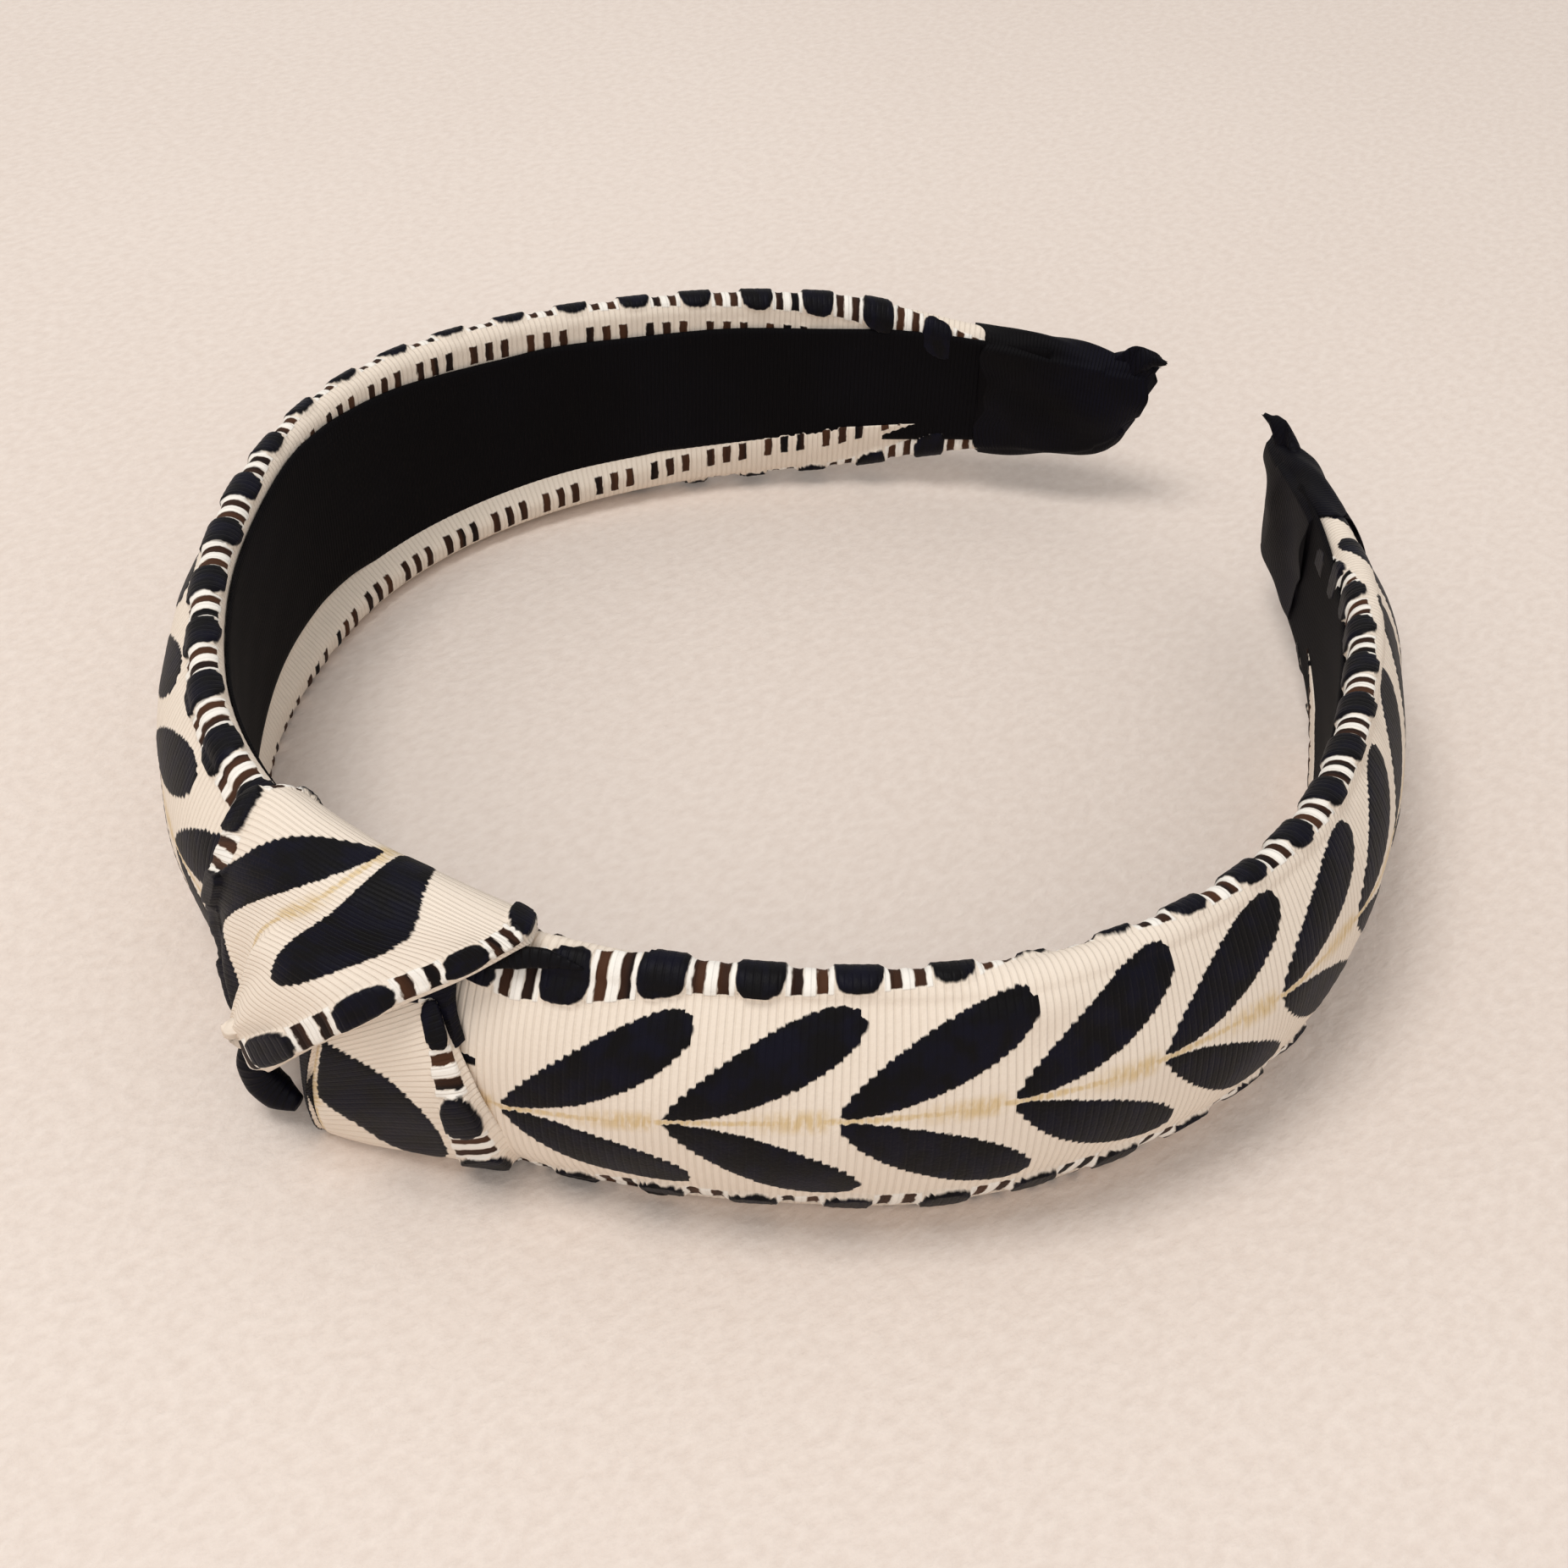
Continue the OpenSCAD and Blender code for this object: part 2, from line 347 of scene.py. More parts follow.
def shell(name, grid, cloth, depth, out=1.0):
    """Thin closed sheet: the grid is its outer face, and its inner face is depth mm below."""
    inner = grid - out * normals(grid) * depth * MM
    rows, columns = grid.shape[:2]
    count = rows * columns
    index = np.arange(count).reshape(rows, columns)
    quads = np.stack([index[:-1, :-1], index[:-1, 1:], index[1:, 1:], index[1:, :-1]], axis=-1)
    quads = quads.reshape(-1, 4)
    rim = np.concatenate([index[0], index[1:, -1], index[-1, -2::-1], index[-2:0:-1, 0]])
    following = np.roll(rim, -1)
    edge = np.stack([rim, rim + count, following + count, following], axis=-1)
    if out > 0:
        faces = np.concatenate([quads[:, ::-1], quads + count, edge[:, ::-1]])
    else:
        faces = np.concatenate([quads, quads[:, ::-1] + count, edge])
    vertices = np.concatenate([grid.reshape(-1, 3), inner.reshape(-1, 3)])
    return new_object(name, vertices, faces.tolist(), np.tile(cloth.reshape(-1, 3), (2, 1)))


def tube(name, rings, cloth=None):
    """Closed solid through rings of points, capped at both ends."""
    rows, columns = rings.shape[:2]
    index = np.arange(rows * columns).reshape(rows, columns)
    after = np.roll(index, -1, axis=1)
    quads = np.stack([index[:-1], after[:-1], after[1:], index[1:]], axis=-1).reshape(-1, 4)
    faces = quads.tolist() + [index[0, ::-1].tolist(), index[-1].tolist()]
    return new_object(name, rings.reshape(-1, 3), faces, None if cloth is None else cloth.reshape(-1, 3))


def smooth_rows(net, count):
    """Smooth curve through the rows of a net, count points long."""
    last = len(net) - 1
    at = np.linspace(0, last, count)
    k = np.minimum(at.astype(int), last - 1)
    t = (at - k).reshape((-1,) + (1,) * (net.ndim - 1))
    before = np.where((k > 0).reshape(t.shape), net[np.maximum(k - 1, 0)], 2 * net[0] - net[1])
    beyond = np.where((k < last - 1).reshape(t.shape), net[np.minimum(k + 2, last)], 2 * net[-1] - net[-2])
    a, b = net[k], net[k + 1]
    return 0.5 * (
        2 * a
        + (b - before) * t
        + (2 * before - 5 * a + 4 * b - beyond) * t ** 2
        + (3 * a - before - 3 * b + beyond) * t ** 3
    )


def smooth_net(net, rows, columns):
    net = smooth_rows(np.asarray(net, float), rows)
    return smooth_rows(net.swapaxes(0, 1), columns).swapaxes(0, 1)


# Materials

class Paint:
    """A material and the nodes that colour it."""

    def __init__(self, name, roughness, sheen=0.0, specular=0.3):
        self.material = bpy.data.materials.new(name)
        self.material.use_nodes = True
        self.tree = self.material.node_tree
        self.shader = self.tree.nodes["Principled BSDF"]
        self.shader.inputs["Roughness"].default_value = roughness
        self.shader.inputs["Sheen Weight"].default_value = sheen
        self.shader.inputs["Sheen Roughness"].default_value = 0.4
        self.shader.inputs["Specular IOR Level"].default_value = specular

    def cloth(self):
        attribute = self.tree.nodes.new("ShaderNodeAttribute")
        attribute.attribute_name = "cloth"
        split = self.tree.nodes.new("ShaderNodeSeparateXYZ")
        self.tree.links.new(attribute.outputs["Vector"], split.inputs[0])
        return [Field(self.tree, socket) for socket in split.outputs]

    def noise(self, scale, detail=3.0, stretch=(1.0, 1.0, 1.0)):
        place = self.tree.nodes.new("ShaderNodeTexCoord")
        scaled = self.tree.nodes.new("ShaderNodeVectorMath")
        scaled.operation = "MULTIPLY"
        scaled.inputs[1].default_value = stretch
        noise = self.tree.nodes.new("ShaderNodeTexNoise")
        noise.inputs["Scale"].default_value = scale
        noise.inputs["Detail"].default_value = detail
        self.tree.links.new(place.outputs["Object"], scaled.inputs[0])
        self.tree.links.new(scaled.outputs[0], noise.inputs["Vector"])
        return Field(self.tree, noise.outputs["Fac"])

    def cloth_noise(self, scale, stretch=(1.0, 1.0, 1.0)):
        attribute = self.tree.nodes.new("ShaderNodeAttribute")
        attribute.attribute_name = "cloth"
        scaled = self.tree.nodes.new("ShaderNodeVectorMath")
        scaled.operation = "MULTIPLY"
        scaled.inputs[1].default_value = stretch
        noise = self.tree.nodes.new("ShaderNodeTexNoise")
        noise.inputs["Scale"].default_value = scale
        noise.inputs["Detail"].default_value = 2.0
        self.tree.links.new(attribute.outputs["Vector"], scaled.inputs[0])
        self.tree.links.new(scaled.outputs[0], noise.inputs["Vector"])
        return Field(self.tree, noise.outputs["Fac"])

    def mix(self, share, first, second):
        node = self.tree.nodes.new("ShaderNodeMix")
        node.data_type = "RGBA"
        node.clamp_factor = True
        for socket, value in ((node.inputs[0], share), (node.inputs[6], first), (node.inputs[7], second)):
            if isinstance(value, Field):
                self.tree.links.new(value.socket, socket)
            elif isinstance(value, bpy.types.NodeSocket):
                self.tree.links.new(value, socket)
            else:
                socket.default_value = linear(value)
        return node.outputs[2]

    def colour(self, socket):
        self.tree.links.new(socket, self.shader.inputs["Base Color"])

    def bump(self, height, distance, strength=1.0):
        node = self.tree.nodes.new("ShaderNodeBump")
        node.inputs["Distance"].default_value = distance
        node.inputs["Strength"].default_value = strength
        self.tree.links.new(height.socket, node.inputs["Height"])
        self.tree.links.new(node.outputs[0], self.shader.inputs["Normal"])

    def drive(self, name, field):
        self.tree.links.new(field.socket, self.shader.inputs[name])


def linear(colour):
    """Screen colour, 0 to 255 each, as the light it stands for."""
    channels = [c / 255 for c in colour]
    return [c / 12.92 if c < 0.04045 else ((c + 0.055) / 1.055) ** 2.4 for c in channels] + [1.0]


CREAM = (238, 224, 208)
# Darker cream, used for painted shade in the rib grooves and for random yarn tone
CREAM_SHADE = (218, 200, 179)
BAR_WHITE = (245, 239, 230)
NAVY = (9, 7, 9)
# Lighter colours for painted sheen on the navy weave, the end wraps and the lining
NAVY_SHEEN = (11, 10, 25)
BROWN_BLACK = (74, 46, 30)
GOLD = (214, 184, 122)
LINING_BLACK = (7, 5, 7)
LINING_SHEEN = (11, 9, 14)


def ribbon_paint(name, panel, with_centre_line=True):
    """Patterned ribbed ribbon. panel gives the leaves."""
    paint = Paint(name, 0.62, sheen=0.015, specular=0.11)
    a, w, d = paint.cloth()
    ragged = paint.cloth_noise(1.9, (1.0, 0.5, 0.0))
    rib = in_ribs(a)
    shifted = w + (ragged - 0.5) * 0.7
    leaves = ramp(panel(rib * 0.6 + a * 0.4, shifted), 0.02, 0.22)
    yarn = paint.cloth_noise(1.0, (2.2, 0.6, 0.0))
    border_w = w + (ragged - 0.5) * 0.3
    border_d = d + (yarn - 0.5) * 0.5
    dark = least(leaves + dots(border_d, border_w), 1.0)
    thin = least(dashes(border_d, border_w) + inner_dashes(border_d, border_w), 1.0)
    across_rib = abs(a / RIB_PITCH - floor(a / RIB_PITCH) - 0.5) * 2.0
    groove = ramp(across_rib, 0.5, 1.0)
    # The cream ground is darker in the grooves between the ribs, which is painted shade, and varies at
    # random with the yarn.
    ground = paint.mix(groove * 0.26 + (yarn - 0.5) * 0.4, CREAM, CREAM_SHADE)
    pale = paint.mix(bars(d, w), ground, BAR_WHITE)
    if with_centre_line:
        t = a - floor(a / LEAF_PITCH) * LEAF_PITCH
        fade = ramp(t, 4.5, 11.5) * (1.0 - ramp(t, 12.6, 14.0))
        blotch = fade * (1.0 - ramp(abs(w), 0.3, 1.8)) * 0.7
        thread = within(w + (ragged - 0.5) * 0.5, 0.32, 0.2) * 0.7
        gold = least(most(blotch, thread) * ramp(yarn, 0.2, 0.6), 1.0)
        pale = paint.mix(gold, pale, GOLD)
        paint.drive("Metallic", gold * 0.3)
    # The navy of the leaves and dots turns to the sheen colour in random patches, which is painted sheen.
    navy_with_painted_sheen = paint.mix(ramp(paint.cloth_noise(0.35), 0.35, 0.7), NAVY, NAVY_SHEEN)
    faded = paint.cloth_noise(0.21, (1.0, 0.0, 0.0))
    dash_colour = paint.mix(ramp(faded, 0.38, 0.6), NAVY, BROWN_BLACK)
    dashed = paint.mix(thin, pale, dash_colour)
    paint.colour(paint.mix(dark, dashed, navy_with_painted_sheen))
    paint.drive("Roughness", 0.66 - dark * 0.14)
    fibres = paint.noise(2600.0, 2.0)
    height = dark * 0.5 + bars(d, w) * 0.5 - groove * (0.55 - dark * 0.2) + fibres * 0.35
    paint.bump(height, 0.00016, 0.8)
    return paint.material


def navy_paint(name, dark, light, roughness, rib=RIB_PITCH):
    """Plain ribbed dark ribbon, with painted sheen in cloudy patches and painted shade in the rib grooves.
    """
    paint = Paint(name, roughness, sheen=0.0, specular=0.1)
    a, w, d = paint.cloth()
    across_rib = abs(a / rib - floor(a / rib) - 0.5) * 2.0
    groove = ramp(across_rib, 0.45, 1.0)
    cloud = paint.noise(55.0)
    # light is the painted sheen colour: it shows in cloudy patches, and the rib grooves keep the dark colour
    # as painted shade.
    paint.colour(paint.mix(ramp(cloud, 0.4, 0.75) * (1.0 - groove * 0.7), dark, light))
    fibres = paint.noise(2200.0, 2.0)
    paint.bump(fibres * 0.4 - groove, 0.00012, 0.6)
    return paint.material


def plain_paint(name, colour, shade, roughness, scale, depth):
    """Plain material with a fine grain."""
    paint = Paint(name, roughness)
    grain = paint.noise(scale)
    paint.colour(paint.mix(ramp(grain, 0.35, 0.65), colour, shade))
    paint.bump(grain, depth)
    return paint.material


UPPER_LEAVES = (
    ((-3.0, 0.2), (28.0, 19.5), 4.9),
    ((-12.0, -2.2), (21.0, -7.6), 3.4),
    ((19.0, 10.0), (42.0, 5.0), 6.0),
)
LOWER_LEAVES = (((-3.0, 6.0), (19.5, -11.0), 3.6),)
INNER_LEAVES = (((-14.0, 0.0), (22.0, 0.0), 9.0),)


def upper_panel(a, w):
    return single_leaves(a, w, UPPER_LEAVES)


def lower_panel(a, w):
    """One leaf on the far side of the gold line, and plain navy on the near side."""
    beyond_line = least(single_leaves(a, w, LOWER_LEAVES), -w - 0.6)
    return most(beyond_line, w - 2.2)


def inner_panel(a, w):
    return single_leaves(a, w, INNER_LEAVES)


paints = {
    "band": ribbon_paint("woven_ribbon", leaf_rows),
    "upper": ribbon_paint("woven_ribbon_upper_lobe", upper_panel),
    "lower": ribbon_paint("woven_ribbon_lower_lobe", lower_panel),
    "inner": ribbon_paint("woven_ribbon_crossing", inner_panel, False),
    # The navy, lining and end wrap materials have painted sheen in cloudy patches and painted shade in their
    # rib grooves.
    "roll": navy_paint("navy_weft", NAVY, NAVY_SHEEN, 0.5),
    "lining": navy_paint("lining_grosgrain", LINING_BLACK, LINING_SHEEN, 0.8, 0.55),
    "wrap": navy_paint("end_wrap_satin", LINING_BLACK, NAVY_SHEEN, 0.6, 0.45),
    "foam": plain_paint("foam", (240, 237, 228), (224, 219, 208), 0.9, 900.0, 0.0003),
    "core": plain_paint("core_strip", (216, 214, 206), (200, 198, 190), 0.45, 300.0, 0.00005),
}


def dressed(piece, paint, slot, *nodes):
    piece.data.materials.append(paints[paint])
    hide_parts(*nodes)
    return piece


def blended(piece, side):
    """Bakes the piece's placement into its mesh. The ends of the flexing part of the core are worked out for
    the side, but not used.
    """
    start = on_band(side * BLEND_START, RIM_OFF, MID_Z)
    end = on_band(side * BLEND_END, RIM_OFF, MID_Z)
    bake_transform(piece)


# Band

# The breakpoints below were fitted to the places of dots and leaves in the photo, with scratch scripts

def ribbon_shift(s):
    """How far the ribbon's middle lies above the band's mid-height."""
    places = (-76, -52, 20, 27, 34, 42, 55, 70, 83, 100, 122)
    return np.interp(s, places, (0.4, 2.4, 0.4, -1.0, 0.4, 2.4, 3.6, 4.5, 5.0, 3.8, 2.6))


def border_slip(s, across):
    """How far the upper border slips over the rim where the leaf panel bulges, right of the knot."""
    return BORDER_SLIP * np.exp(-(((s - BULGE_PLACE) / 7.5) ** 2)) * ramp(across, 14.6, 19.6)


def leaf_phase(s):
    """Cloth distance of the leaves, which are 14.2 mm apart in it."""
    return np.interp(s, (-188, 26.9, 69.3, 188), (-215.4, 0.0, 42.6, 173.3))


def dot_phase(s):
    """Cloth distance of the border's dots."""
    right = np.interp(s, (0, 40, 65, 188), (-4.9, 0, 3, 19.3)) * DOT_PITCH
    left = np.interp(s, (-188, -65.2, -3.6, 20), (-22.4, -7, 0, 2.7)) * DOT_PITCH
    return np.where(s > KNOT_MIDDLE - 1, right, left)


def sag_share(s):
    """How loose the lower fold is, 0 to 1. It sags inwards along the flanks."""
    return 0.25 + 0.75 * np.exp(-(((np.abs(s) - 88) / 34) ** 4))


def cover(first, last):
    """Patterned ribbon over the padding, folded round both rims to the hems on the inner face.

    Gives its points, their places in the cloth, the outward directions and the height of the weave.
    """
    stations = np.linspace(first, last, int(abs(last - first) / 0.42))
    sections = [band_section(s, HEM_SHARE, SECTION_POINTS) for s in stations]
    off = np.array([section[0] for section in sections])
    z = np.array([section[1] for section in sections])
    across = np.array([section[2] for section in sections])
    s = stations[:, None] + 0 * off
    bulge = BULGE * np.exp(-(((s - BULGE_PLACE) / 9) ** 2)) * np.exp(-(((across - 14) / 3.2) ** 2))
    slump = SLUMP * ramp(-across, 16.0, 20.5) * (1 - ramp(-across, 21.5, 25.0)) * sag_share(s)
    sink = SINK * np.exp(-(((s + 108) / 22) ** 2)) * ramp(across, 4.0, 15.0)
    wave = 0.16 * np.sin(s / 6.1 + across / 5) + 0.1 * np.sin(s / 2.9 - across / 3.3 + 1)
    on_face = ramp(off, RIM_OFF, EDGE_DEPTH + 1)
    off = off + wave * on_face + bulge - slump
    z = z + 0.9 * bulge - sink
    width = across - ribbon_shift(s) - border_slip(s, across)
    cloth = np.stack([leaf_phase(s), width, dot_phase(s)], axis=-1)
    height = relief(cloth[..., 0], cloth[..., 1], cloth[..., 2], leaf_rows)
    height = height * (1 - ramp(s, RIGHT_WRAP_START - 3, RIGHT_WRAP_START))
    height = height * (1 - ramp(-s, LEFT_WRAP_START - 3, LEFT_WRAP_START))
    grid = on_band(s, off, MID_Z + z)
    outward = -normals(grid) if last > first else normals(grid)
    return grid, cloth, outward, height


def cover_piece(name, first, last):
    """The cover raised by its weave, kept above the floor, as a thin sheet."""
    grid, cloth, outward, height = cover(first, last)
    middle = grid.shape[1] // 2
    radial = grid[:, middle] - on_band(np.linspace(first, last, len(grid)), -10.0, MID_Z)
    sign = np.sign((outward[:, middle] * radial).sum())
    settled = np.where(grid[..., 2:3] < PRESSED_BELOW * MM, PRESSED_SHARE, 1.0)
    grid = grid + sign * outward * height[..., None] * MM * settled
    grid[..., 2] = np.maximum(grid[..., 2], 0.0)
    facing = normals(grid)
    out = np.sign((facing[:, middle] * radial).sum())
    return shell(name, grid, cloth, CLOTH, out)


def section_strip(stations, points):
    """Rings of a strip with a fixed kind of section. points(s) gives [off, height] rows."""
    rings = []
    for s in stations:
        section = np.array(points(s))
        rings.append(on_band(np.full(len(section), s), section[:, 0], MID_Z + section[:, 1]))
    return np.array(rings)


def strip_cloth(stations, rings):
    across = np.linspace(0, 1, rings.shape[1]) * BAND_WIDTH
    s = stations[:, None] + 0 * across[None]
    return np.stack([s, across[None] + 0 * s, 0 * s], axis=-1)


# The lining's middle, above the band's mid-height, and half its width, along the band, in mm.
# Rounded from heights that a scratch script worked out for points picked on the photo's left arm.
LINING_MIDDLE_AT = (60, 68, 75, 84, 92, 103, 114, 124)
LINING_MIDDLE = (2.5, 2.5, 2.0, 0.8, 0.1, -0.2, 0.2, 0.8)
LINING_HALF_AT = (60, 75, 84, 92, 103, 114, 124, 155, 186)
LINING_HALF = (11, 11.4, 11.4, 11, 10.3, 9.6, 9, 8.3, 6.8)


def lining(name, first, last):
    """Plain ribbon over the hems on the inner face, with softly rounded edges."""
    stations = np.linspace(first, last, int(abs(last - first) / 0.8))

    def points(s):
        far = abs(s)
        middle = np.interp(far, LINING_MIDDLE_AT, LINING_MIDDLE)
        half = np.interp(far, LINING_HALF_AT, LINING_HALF)
        half += 0.12 * math.sin(s / 3.7) + 0.7 * ramp(s, 135.0, 150.0)
        middle -= 0.7 * ramp(s, 135.0, 150.0)
        face = []
        for f in np.linspace(-1, 1, 25):
            curl = 0.12 if abs(f) > 0.96 else 0.0
            face.append([0.02 + curl + 0.03 * math.sin(9 * f + s / 4), middle + f * half])
        return face + [[LINING_DEPTH, middle + half], [LINING_DEPTH, middle - half]]

    rings = section_strip(stations, points)
    if last < first:
        rings = rings[::-1]
        stations = stations[::-1]
    return tube(name, rings[:, ::-1], strip_cloth(stations, rings))


def core(name, first, last):
    """Moulded strip with rounded edges, which springs the band open and shut."""
    stations = np.linspace(first, last, 90)

    def points(s):
        half = half_width(s) - 3.0
        turn = np.linspace(-math.pi / 2, math.pi / 2, 9)
        middle = CORE_OFF + CORE_DEPTH / 2
        radius = CORE_DEPTH / 2
        upper = [[middle - radius * math.sin(t), half - radius + radius * math.cos(t)] for t in turn]
        lower = [[middle + radius * math.sin(t), -half + radius - radius * math.cos(t)] for t in turn]
        return upper + lower

    rings = section_strip(stations, points)
    return tube(name, rings if last > first else rings[::-1])


def pad(name, first, last):
    """Crowned foam strip between the core and the cover."""
    stations = np.linspace(first, last, 120)

    def points(s):
        half = half_width(s)
        edge = 0.95 * (half - RIM_RADIUS)
        rows = []
        for f in np.linspace(-1, 1, 31):
            crown = EDGE_DEPTH + DOME_RISE * half / MID_Z * (1 - abs(f * 0.95) ** DOME_POWER)
            rows.append([max(crown - 1.0, PAD_OFF + 0.1), f * edge])
        return rows + [[PAD_OFF, edge * 0.97], [PAD_OFF, -edge * 0.97]]

    rings = section_strip(stations, points)
    return tube(name, rings[:, ::-1] if last > first else rings[::-1, ::-1])


def end_wrap(name, side, wrap_start):
    """Dark ribbon folded round one end, gathered to a flat ragged tip with a corner left standing."""
    steps = np.linspace(0, 1, 70)
    count = 96
    rings = []
    for step in steps:
        s_mid = wrap_start + step * (WRAP_END + 0.6 - wrap_start)
        off, z, at = band_section(min(s_mid, ARM_LENGTH), 0.02, 40)
        closed_off = np.concatenate([off, [HEM_OFF]])
        closed_off = np.where(closed_off < HEM_OFF + 0.01, 0.05, closed_off)
        closed_z = np.concatenate([z, [0.0]])
        length = np.concatenate([[0], np.cumsum(np.hypot(np.diff(closed_off), np.diff(closed_z)))])
        even = np.linspace(0, length[-1], count, endpoint=False)
        off = np.interp(even, length, closed_off)
        z = np.interp(even, length, closed_z)
        off_middle = RIM_OFF + 0.4
        turn = np.arctan2(z / 3.0, off - off_middle)
        closing = np.clip((step - 0.62) / 0.38, 0, 1)
        flatten = 1 - 0.72 * closing ** 1.5
        upper = np.clip(z / half_width(s_mid), 0, 1)
        lower = np.clip(-z / half_width(s_mid), 0, 1)
        grow = 0.55 + 0.18 * np.sin(3 * turn + 7 * step) + 0.16 * np.sin(7 * turn - 11 * step + side)
        crease = 0.35 * closing * np.sin(6 * turn + 4 * side)
        new_off = off_middle + (off - off_middle) * flatten + (grow + crease) * np.cos(turn)
        new_z = z * (1 - 0.06 * closing ** 2) + grow * np.sin(turn)
        new_z = new_z + lower * 3.6 * closing ** 2.4 - 0.3 * upper * closing
        ragged = 0.5 * np.sin(5 * turn + 1.3 * side) + 0.35 * np.sin(11 * turn + 2)
        corner = 1.6 * np.exp(-(((turn - math.pi / 2) / 0.35) ** 2))
        opening_edge = (1 - step) ** 6 * (ragged - corner)
        tip_edge = closing ** 3 * (ragged * 0.8 - 2.2 * lower + 1.2 * upper)
        s = s_mid + opening_edge + tip_edge
        rings.append(on_band(side * s, new_off, np.maximum(MID_Z + new_z, 0.3)))
    rings = np.array(rings)
    if side < 0:
        rings = rings[:, ::-1]
    along = (steps * (WRAP_END - wrap_start))[:, None] + 0 * rings[..., 0]
    cloth = np.stack([along, 0 * along, 0 * along], axis=-1)
    return tube(name, rings, cloth)


def corner_tab(name, side, points, widths):
    """Pinched corner of the wrap's ribbon, standing out from its end."""
    path = smooth_rows(np.array(points, float), 24)
    width = np.interp(np.linspace(0, 1, 24), np.linspace(0, 1, len(widths)), widths)
    turn = np.linspace(0, 2 * math.pi, 20, endpoint=False)
    rings = []
    for k, (s, off, z) in enumerate(path):
        thin = 0.35 + 0.25 * width[k]
        ring_off = off + thin * np.cos(turn) + 0.15 * width[k] * np.sin(2 * turn + k / 3)
        rings.append(on_band(side * (s + 0.2 * np.sin(3 * turn + k)), ring_off, z + width[k] * np.sin(turn)))
    rings = np.array(rings)
    if side > 0:
        rings = rings[:, ::-1]
    cloth = np.zeros_like(rings)
    cloth[..., 0] = np.arange(24)[:, None] * 0.3
    return tube(name, rings, cloth)


cover_right = cover_piece("cover_right_ribbon", KNOT_MIDDLE + 0.1, 176.0)
dressed(cover_right, "band", "woven_ribbon", "cover_crown_right", "cover_right")
cover_left = cover_piece("cover_left_ribbon", -176.0, KNOT_MIDDLE - 0.1)
dressed(cover_left, "band", "woven_ribbon", "cover_crown_left", "cover_left")
lining_right = dressed(lining("lining_right_ribbon", 0.05, 176.0), "lining", "lining_ribbon", "lining_right")
lining_left = dressed(
    lining("lining_left_ribbon", -0.05, -176.0), "lining", "lining_ribbon", "lining_left", "lining_crown"
)
core_right = dressed(core("core_right_strip", 0.05, 183.0), "core", "core_strip", "core_right")
core_left = dressed(core("core_left_strip", -0.05, -183.0), "core", "core_strip", "core_left", "core_crown")
pad_right = dressed(pad("pad_right_foam", 0.05, 178.0), "foam", "foam", "pad_right")
pad_left = dressed(pad("pad_left_foam", -0.05, -178.0), "foam", "foam", "pad_left", "pad_crown")
for piece in (cover_right, lining_right, core_right, pad_right):
    blended(piece, 1)
for piece in (cover_left, lining_left, core_left, pad_left):
    blended(piece, -1)

TAB_PATH = ((183.5, 2.5, 21.6), (186.6, 2.3, 22.6), (189.0, 1.7, 23.6), (191.0, 0.9, 24.0))
for body, side, node, wrap_start in (
    ("right_arm", 1, "end_wrap_right", RIGHT_WRAP_START),
    ("left_arm", -1, "end_wrap_left", LEFT_WRAP_START),
):
    wrap = dressed(end_wrap(node + "_ribbon", side, wrap_start), "wrap", "end_wrap_fabric", node)
    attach(wrap, body)
    tab = corner_tab(node + "_corner", side, TAB_PATH, (1.2, 2.5, 1.2, 0.2))
    dressed(tab, "wrap", "end_wrap_fabric", node)
    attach(tab, body)


# Knot. Each net row is a line across the ribbon of [along the band, out from it, height], in mm.
# The nets started as points picked on the photo at guessed heights, which a scratch script turned
# into these coordinates. Most of the upper net was then moved. Much of the lower was not.

KNOT_LIFT = 0.9
UPPER_NET = (
    (
        (-1, 0.3, 25), (3, 0.3, 25), (8, 0.3, 25), (13, 0.3, 25), (18.5, 0.3, 25), (24, 0.3, 25),
        (27, 0.3, 25),
    ),
    (
        (-2, 0, 29.4), (1, -0.3, 30), (7, -0.4, 30.4), (13, -0.4, 30.4), (18.5, -0.4, 30.4),
        (25, -0.2, 30), (28, 0, 29.4),
    ),
    (
        (-2.6, 2.6, 31.6), (0, 1.2, 32.5), (6.8, 1, 32.8), (13, 1, 32.8), (18.5, 1, 32.7),
        (25.6, 1.4, 32), (28.6, 1.8, 31.2),
    ),
    (
        (-2.7, 6.5, 31.2), (0, 4.4, 33.4), (6.7, 4, 33.7), (13.2, 4.2, 33.7), (18.4, 4.1, 33.6),
        (26, 4.8, 32.6), (28.6, 4.8, 31.6),
    ),
    (
        (-4.1, 8.8, 25.5), (0.7, 9, 28.6), (6.3, 8.8, 31), (11.2, 8.7, 31.6), (16.8, 8.4, 31.2),
        (23, 7.4, 30.8), (25, 7.7, 29),
    ),
    (
        (-5.2, 9.4, 19), (-1.5, 10.2, 22), (2.8, 10.8, 24.5), (6.5, 11.2, 26), (11.7, 11.4, 27),
        (16.6, 11.7, 26.4), (18.2, 11.8, 23.8),
    ),
    (
        (-3.0, 9.6, 14), (-1.0, 10.8, 15.8), (1.4, 11.7, 17.2), (4.8, 12.2, 18.6),
        (7.4, 12.9, 20), (11.3, 13.2, 20.2), (12.7, 12.7, 17.4),
    ),
    (
        (-0.6, 10.4, 9.5), (0.8, 11.3, 10.4), (2.0, 11.9, 11.2), (3.1, 12.4, 12),
        (4.0, 12.9, 12.4), (4.8, 13.2, 12.4), (6.9, 13, 9),
    ),
    (
        (-0.8, 8.6, 8.4), (0.4, 9.4, 9.2), (1.4, 10, 10), (2.3, 10.5, 10.6), (3.4, 11, 11.2),
        (4.4, 11.6, 10.8), (6.2, 11.4, 8),
    ),
)
UPPER_ALONG = (-15, -9, -4, 0, 8, 17, 25, 32, 35)
UPPER_LEFT_BORDER = (-12, -7.5, -3.5, -0.5, 5, 10.2, 14, 17, 18)
UPPER_RIGHT_BORDER = (-20, -14, -10, -6, 0, 8.27, 13.9, 19.8, 21.5)

